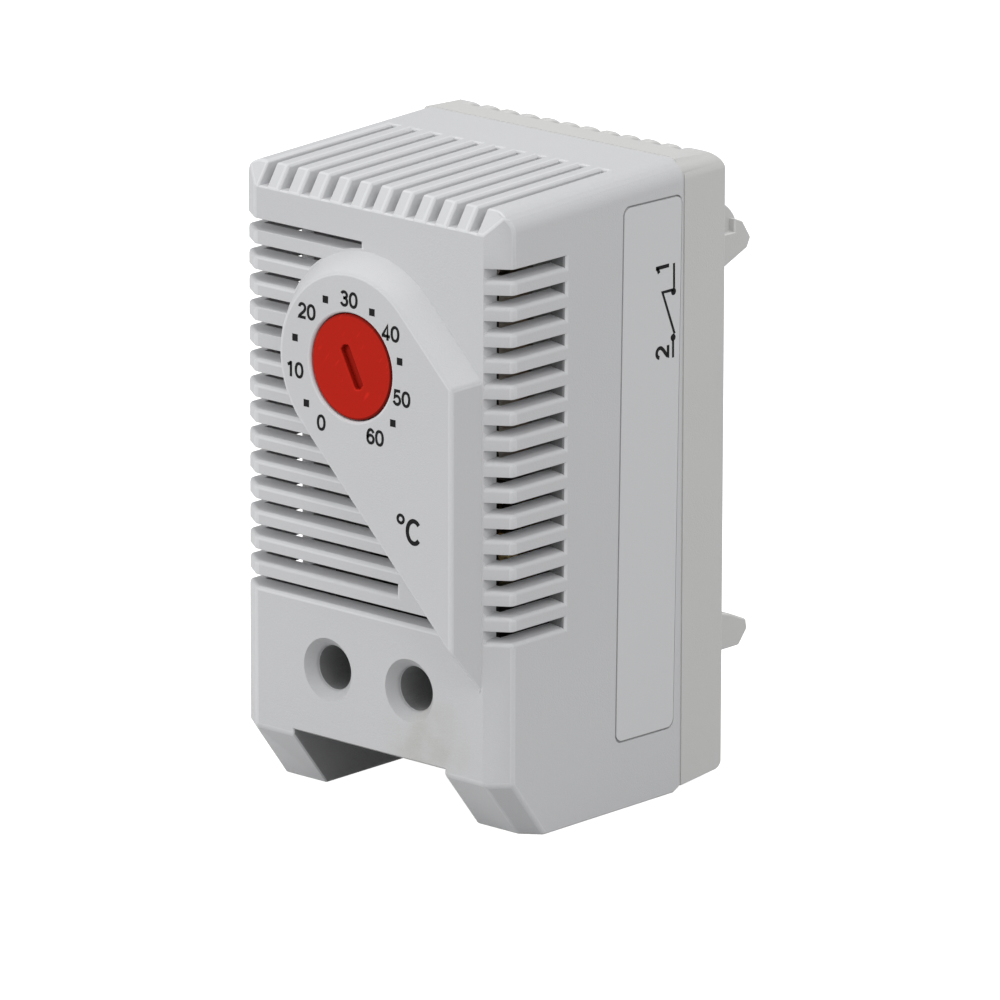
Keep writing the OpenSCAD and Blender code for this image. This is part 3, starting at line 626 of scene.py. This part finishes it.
def housing():
    """Front housing with the slots and gaps as wide as they look."""
    work = whole_faces("front_housing")
    tilt_sills(work)
    narrow_roof_slots(work)
    widen_label_pocket(work)
    refine_circle(work, 0, DIAL_CENTRE_Z, DIAL_HOLE_R)
    for x in (-TERMINAL_X, TERMINAL_X):
        even_cone(work, x, TERMINAL_Z, ACCESS_R, SINK_R)
        refine_circle(work, x, TERMINAL_Z, ACCESS_R)
        refine_circle(work, x, TERMINAL_Z, SINK_R)
    shell = soften(work, "housing_shell", hood_width)
    stand_in(shell, "front_housing", "housing", housing_grey, hood_shade)


# Places on the base, in millimetres as on the housing

SEAM_DEPTH = 24.9
SEAM_BACK = 24.95
LIP_TOP = 59.95
LIP_SIDES = (16.2, 16.3)
RIBS_X = 14
RIBS_DEPTH = 27.5
RIBS_LOW = 57
OUTSIDE_X = 16
OUTSIDE_DEPTH = 30
OUTSIDE_LOW = 2
OUTSIDE_TOP = 58.5

# Its edges and the floor of the seam
BASE_RIB_BEVEL = 0.35 * MM
BASE_BEVEL = 0.14 * MM
ROOF_SEAM_Z = 60.2 * MM
SIDE_SEAM_X = 16.38 * MM
SIDE_SEAM_TOP = 58.9 * MM


def base_width(middle, faces):
    """Width to which an edge of the base is rounded, which is none on the lip under the housing."""
    x, y, z = in_hood(middle)
    if y > RIBS_DEPTH and z > RIBS_LOW and abs(x) < RIBS_X:
        return BASE_RIB_BEVEL
    outside = y > OUTSIDE_DEPTH or abs(x) > OUTSIDE_X or z > OUTSIDE_TOP or z < OUTSIDE_LOW
    return BASE_BEVEL if outside and y > SEAM_BACK else 0


def base():
    """Rear base with a shallower seam."""
    work = whole_faces("rear_base")
    for vert in work.verts:
        x, y, z = in_hood(vert.co)
        if y < SEAM_DEPTH and z > LIP_TOP:
            vert.co.z = max(vert.co.z, ROOF_SEAM_Z)
        if y < SEAM_DEPTH and LIP_SIDES[0] < abs(x) < LIP_SIDES[1]:
            vert.co.x = math.copysign(SIDE_SEAM_X, x)
            vert.co.z = min(vert.co.z, SIDE_SEAM_TOP)
    shell = soften(work, "base_shell", base_width)
    stand_in(shell, "rear_base", "housing", base_grey)


LATCH_BEVEL = 0.2 * MM


def latches():
    def width(middle, faces):
        return LATCH_BEVEL

    for side in ("1", "2"):
        tongue = soften(whole_faces("rail_latch_" + side), "latch_tongue_" + side, width)
        stand_in(tongue, "rail_latch_" + side, "latch_" + side, base_grey)


DIAL_GAP = 0.1 * MM
DIAL_RIM_BEVEL = 0.22 * MM
RIM_SHARE = 0.9
RIM_FLAT = 0.99
# Painted shade on the rim's rounded edge, deeper towards the right, and in the groove
RIM_SHADE = -0.35
RIM_SHADE_RIGHT = -0.3
GROOVE_SHARE = 0.6
GROOVE_BELOW = 0.7 * MM
GROOVE_HALF = 0.3 * MM
GROOVE_LIP = 0.1 * MM
GROOVE_WIDEN = 0.15 * MM
GROOVE_RAISE = 0.1 * MM
GROOVE_BEVEL = 0.18 * MM
GROOVE_SHADE = -0.3


def dial():
    """Setting dial with a wider groove, and painted shade on its rim, deeper towards the right, and in
    its groove.
    """
    work = whole_faces("setpoint_dial")
    face_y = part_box("setpoint_dial")[0].y
    radius = DIAL_HOLE_R - DIAL_GAP
    refine_circle(work, 0, DIAL_CENTRE_Z, radius)
    groove = {}
    for vert in work.verts:
        arm = Vector((vert.co.x, vert.co.z - DIAL_CENTRE_Z))
        if arm.length < GROOVE_SHARE * radius and vert.co.y < face_y + GROOVE_BELOW:
            groove[vert] = arm
    along = max(groove.values(), key=lambda arm: arm.length).normalized()
    for vert, arm in groove.items():
        across = arm - along * arm.dot(along)
        if across.length > GROOVE_HALF:
            vert.co.x += across.x / across.length * GROOVE_WIDEN
            vert.co.z += across.y / across.length * GROOVE_WIDEN
        if vert.co.y > face_y + NEAR:
            vert.co.y -= GROOVE_RAISE

    def width(middle, faces):
        if middle.y > face_y + NEAR:
            return 0
        reach = math.hypot(middle.x, middle.z - DIAL_CENTRE_Z)
        return DIAL_RIM_BEVEL if reach > RIM_SHARE * radius else GROOVE_BEVEL

    def shade_at(face):
        middle = face.calc_center_median()
        reach = math.hypot(middle.x, middle.z - DIAL_CENTRE_Z)
        # Painted shade on the rim and in the groove, painted highlight on the other rounded edges
        if reach > RIM_SHARE * radius and face.normal.y > -RIM_FLAT:
            return RIM_SHADE + RIM_SHADE_RIGHT * middle.x / radius
        inside = reach < GROOVE_SHARE * radius and middle.y > face_y + GROOVE_LIP
        return GROOVE_SHADE if inside else EDGE_HIGHLIGHT * face.material_index

    knob = soften(work, "dial_knob", width)
    stand_in(knob, "setpoint_dial", "dial", dial_red, shade_at)


# Finishes

GREY = (0.60, 0.604, 0.616)

# Centre, reach and colour of the stain under the right bore
STAIN = (Vector((7.3, -19.1, 7.9)) * MM, 6 * MM, (0.515, 0.512, 0.49))

housing_grey = moulded("housing_grey", GREY, stain=STAIN)
base_grey = moulded("base_grey", (0.605, 0.605, 0.597))
label_grey = moulded("label_grey", (0.645, 0.65, 0.66), roughness=0.35, bump=0.002, mottle=0.01)
dial_red = moulded("dial_red", (0.51, 0.018, 0.009), roughness=0.45, bump=0.006, gloss=0.04, scratch=0.3)
brass = metal("brass", (0.75, 0.58, 0.28))
steel = metal("steel", (0.56, 0.56, 0.56))
zinc = metal("zinc_plated", (0.62, 0.63, 0.65), roughness=0.35)
bronze = metal("spring_bronze", (0.72, 0.46, 0.28), roughness=0.28)
bimetal = metal("bimetal", (0.55, 0.52, 0.47), roughness=0.35)
silver = metal("contact_silver", (0.88, 0.87, 0.85), roughness=0.2)
magnet = metal("magnet_dark", (0.08, 0.08, 0.09), roughness=0.5)
ink = moulded("ink", (0.006, 0.006, 0.007), roughness=0.5, bump=0.002, mottle=0.2, gloss=0.1)
ivory = moulded("plunger_ivory", (0.75, 0.70, 0.56))
dark = moulded("carrier_dark", (0.035, 0.03, 0.028))

FINISHES = {
    "front_housing": housing_grey,
    "rear_base": base_grey,
    "rail_latch_1": base_grey,
    "rail_latch_2": base_grey,
    "side_label": label_grey,
    "setpoint_dial": dial_red,
    "spindle": brass,
    "wave_washer": steel,
    "spindle_clip": steel,
    "adjusting_plunger": ivory,
    "contact_carrier": dark,
    "terminal_bar_1": brass,
    "terminal_bar_2": brass,
    "setpoint_lever": bronze,
    "fixed_contact": silver,
    "snap_magnet": magnet,
    "bimetal_strip": bimetal,
    "moving_contact": silver,
    "armature": steel,
    "clamp_cage_1": zinc,
    "clamp_cage_2": zinc,
    "terminal_screw_1": zinc,
    "terminal_screw_2": zinc,
    "carrier_screw_1": steel,
    "carrier_screw_2": steel,
}


# Prints on the scale plate and the label

INK_LIFT = 0.012 * MM
INK_DEPTH = 0.03 * MM
LINE = 0.19
TURN = 24
RING_END = 345
LEAST_MITRE = 0.6


def bow(centre, reach, start, end, steps=TURN, power=1.0):
    """Points along an ellipse, from one angle to another in degrees."""
    points = []
    for step in range(steps + 1):
        angle = math.radians(start + (end - start) * step / steps)
        cos_a, sin_a = math.cos(angle), math.sin(angle)
        points.append((
            centre[0] + reach[0] * math.copysign(abs(cos_a) ** power, cos_a),
            centre[1] + reach[1] * math.copysign(abs(sin_a) ** power, sin_a),
        ))
    return points


# Centre lines of the figures, one unit high, with whether each line closes on itself
FIGURES = {
    "0": [(bow((0.35, 0.5), (0.27, 0.422), 0, RING_END, power=0.9), True)],
    "1": [([(0.40, 0), (0.40, 0.97)], False), ([(0.40, 0.90), (0.29, 0.80), (0.13, 0.735)], False)],
    "2": [
        (
            bow((0.34, 0.68), (0.245, 0.242), 172, -28)
            + [(0.45, 0.43), (0.24, 0.26), (0.12, 0.15), (0.09, 0.078), (0.63, 0.078)],
            False,
        )
    ],
    "3": [
        (bow((0.33, 0.73), (0.225, 0.192), 160, -80) + [(0.26, 0.54)], False),
        ([(0.26, 0.54)] + bow((0.33, 0.31), (0.25, 0.232), 85, -165), False),
    ],
    "4": [([(0.47, 0), (0.47, 0.93), (0.09, 0.31), (0.09, 0.265), (0.67, 0.265)], False)],
    "5": [
        (
            [(0.61, 0.922), (0.20, 0.922), (0.135, 0.49)]
            + bow((0.335, 0.34), (0.255, 0.262), 128, -165),
            False,
        )
    ],
    "6": [
        (bow((0.35, 0.325), (0.25, 0.247), 0, RING_END), True),
        (bow((0.37, 0.48), (0.27, 0.442), 195, 35), False),
    ],
    "C": [(bow((0.40, 0.5), (0.32, 0.422), 42, 318), False)],
}
FIGURE_W = 0.70
FIGURE_STEP = 0.735


def ink_line(work, place, points, width, closed=False):
    """Adds a flat line of ink along points; place(u, v, lift) gives a point in space."""
    count = len(points)
    rows = []
    for i, (u, v) in enumerate(points):
        before = points[i - 1] if closed or i else points[i]
        after = points[(i + 1) % count] if closed or i + 1 < count else points[i]
        first = Vector((u - before[0], v - before[1]))
        second = Vector((after[0] - u, after[1] - v))
        first = (first if first.length else second).normalized()
        second = (second if second.length else first).normalized()
        along = (first + second).normalized()
        reach = width / 2 / max(LEAST_MITRE, along.dot(first))
        side = Vector((-along.y, along.x)) * reach
        rows.append([
            work.verts.new(place(u + turn * side.x, v + turn * side.y, lift))
            for turn, lift in ((1, INK_LIFT), (-1, INK_LIFT), (-1, -INK_DEPTH), (1, -INK_DEPTH))
        ])
    pairs = list(zip(rows, rows[1:])) + ([(rows[-1], rows[0])] if closed else [])
    for near, far in pairs:
        for k in range(4):
            work.faces.new((near[k], near[(k + 1) % 4], far[(k + 1) % 4], far[k]))
    if not closed:
        work.faces.new(rows[0])
        work.faces.new(rows[-1][::-1])


def ink_text(work, place, text, centre, height):
    """Adds a row of figures about its centre."""
    width = FIGURE_W + FIGURE_STEP * (len(text) - 1)
    for i, figure in enumerate(text):
        left = centre[0] - width * height / 2 + i * FIGURE_STEP * height
        low = centre[1] - height / 2
        for points, closed in FIGURES[figure]:
            moved = [(left + u * height, low + v * height) for u, v in points]
            ink_line(work, place, moved, LINE * height, closed)


def print_piece(work, name):
    """Makes a piece of ink that rides on the housing."""
    bmesh.ops.recalc_face_normals(work, faces=work.faces)
    mesh = bpy.data.meshes.new(name)
    work.to_mesh(mesh)
    work.free()
    mesh.materials.append(ink)
    made = bpy.data.objects.new(name, mesh)
    bpy.context.scene.collection.objects.link(made)
    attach(made, "housing")


# Places on the scale plate, in millimetres from the dial axis
NUMBERS = {
    "0": (-3.65, -5.85),
    "10": (-6.95, -1.4),
    "20": (-5.42, 4.33),
    "30": (-0.18, 6.35),
    "40": (4.98, 4.08),
    "50": (6.33, -1.8),
    "60": (3.05, -6.02),
}
DOTS = [(-3.09, 5.86), (-6.9, 1.62), (-5.5, -4.34), (2.68, 5.64), (6.1, 1.63), (5.26, -4.3)]
NUMBER_H = 1.5
DOT = 0.68
RING = (6.22, -13.13)
RING_R = 0.37
RING_LINE = 0.29
UNIT = (7.85, -14.1)
UNIT_H = 2.5
UNIT_W = 0.8
UNIT_LINE = 0.42


def scale_print():
    """Figures, dots and unit on the scale plate."""

    def place(u, v, lift):
        return Vector((u * MM, PLATE_Y - lift, DIAL_CENTRE_Z + v * MM))

    work = bmesh.new()
    for text, centre in NUMBERS.items():
        ink_text(work, place, text, centre, NUMBER_H)
    for u, v in DOTS:
        ink_line(work, place, [(u, v - DOT / 2), (u, v + DOT / 2)], DOT)
    ink_line(work, place, bow(RING, (RING_R, RING_R), 0, RING_END), RING_LINE, True)
    for points, closed in FIGURES["C"]:
        left, low = UNIT[0] - UNIT_W / 2 * UNIT_H, UNIT[1] - UNIT_H / 2
        moved = [(left + u * UNIT_H, low + v * UNIT_H) for u, v in points]
        ink_line(work, place, moved, UNIT_LINE, closed)
    print_piece(work, "scale_print")


# Contact sign on the label: depth behind the front face and height, in millimetres
MARK_LINE = 0.28
MARK_LINES = [
    [(23.39, 50.80), (23.42, 48.44)],
    [(23.35, 48.30), (21.82, 48.31), (23.53, 44.11)],
    [(23.33, 43.60), (23.34, 41.88)],
]
KNOTS = [(23.35, 48.12), (23.33, 43.78)]
KNOT_R = 0.17
KNOT_STEPS = 12
ONE = (21.77, 50.62)
TWO = (21.85, 42.67)
MARK_H = 1.87


def label_print():
    """Contact sign on the label, with its two terminal numbers turned to read upwards."""

    def place(u, v, lift):
        return Vector((RIGHT_X + lift, FRONT_Y + u * MM, v * MM))

    def turned(u, v, lift):
        return place(-v, u, lift)

    work = bmesh.new()
    for points in MARK_LINES:
        ink_line(work, place, points, MARK_LINE)
    for centre in KNOTS:
        ring = bow(centre, (KNOT_R, KNOT_R), 0, RING_END, steps=KNOT_STEPS)
        ink_line(work, place, ring, 2 * KNOT_R, True)
    ink_text(work, turned, "1", (ONE[1], -ONE[0]), MARK_H)
    ink_text(work, turned, "2", (TWO[1], -TWO[0]), MARK_H)
    print_piece(work, "label_print")


# Floor, world and lamps

FLOOR_SIZE = 8
FLOOR_DROP = 0.02 * MM
FLOOR_COLOUR = (0.4, 0.4, 0.4, 1)
FLOOR_GLOW = 0.8
WORLD_GLOW = 0.6

# Name, place, size and power of each lamp
LAMPS = [
    ("key", (-0.75, -1.0, 0.4), 0.7, 6.5),
    ("fill", (1.0, -0.3, 1.0), 0.8, 4.9),
    ("top", (0.1, 0.0, 1.3), 0.9, 4.2),
]


def floor():
    """Grey floor that is white for the camera and pale in reflections."""
    bpy.ops.mesh.primitive_plane_add(size=FLOOR_SIZE)
    made = bpy.context.object
    made.name = "floor"
    made.location.z = -FLOOR_DROP
    material, tree, shader = nodes_of("floor")
    shader.inputs["Base Color"].default_value = FLOOR_COLOUR
    shader.inputs["Roughness"].default_value = 0.9
    shader.inputs["Specular IOR Level"].default_value = 0
    rays = tree.nodes.new("ShaderNodeLightPath")
    seen = tree.nodes.new("ShaderNodeMath")
    seen.operation = "MULTIPLY_ADD"
    link(tree, rays.outputs["Is Glossy Ray"], seen.inputs[0])
    seen.inputs[1].default_value = FLOOR_GLOW
    link(tree, rays.outputs["Is Camera Ray"], seen.inputs[2])
    shader.inputs["Emission Color"].default_value = WHITE
    link(tree, seen.outputs["Value"], shader.inputs["Emission Strength"])
    made.data.materials.append(material)


def lamp(name, place, size, power):
    """Square lamp that looks at the camera's target."""
    data = bpy.data.lights.new(name, "AREA")
    data.size = size
    data.energy = power
    made = bpy.data.objects.new(name, data)
    made.location = place
    made.rotation_mode = "QUATERNION"
    made.rotation_quaternion = (CAMERA_TARGET - Vector(place)).to_track_quat("-Z", "Y")
    bpy.context.scene.collection.objects.link(made)


def world():
    """White world that lights the part less brightly than the camera sees it."""
    made = bpy.data.worlds.new("studio")
    bpy.context.scene.world = made
    made.use_nodes = True
    tree = made.node_tree
    ground = tree.nodes["Background"]
    ground.inputs["Color"].default_value = WHITE
    rays = tree.nodes.new("ShaderNodeLightPath")
    level = spread(tree, rays.outputs["Is Camera Ray"], 0, 1, WORLD_GLOW, 1)
    link(tree, level, ground.inputs["Strength"])


bpy.context.scene.view_settings.view_transform = "Standard"
camera()
for node, finish in FINISHES.items():
    dress(node, finish)
housing()
base()
latches()
dial()
scale_print()
label_print()
floor()
world()
for settings in LAMPS:
    lamp(*settings)
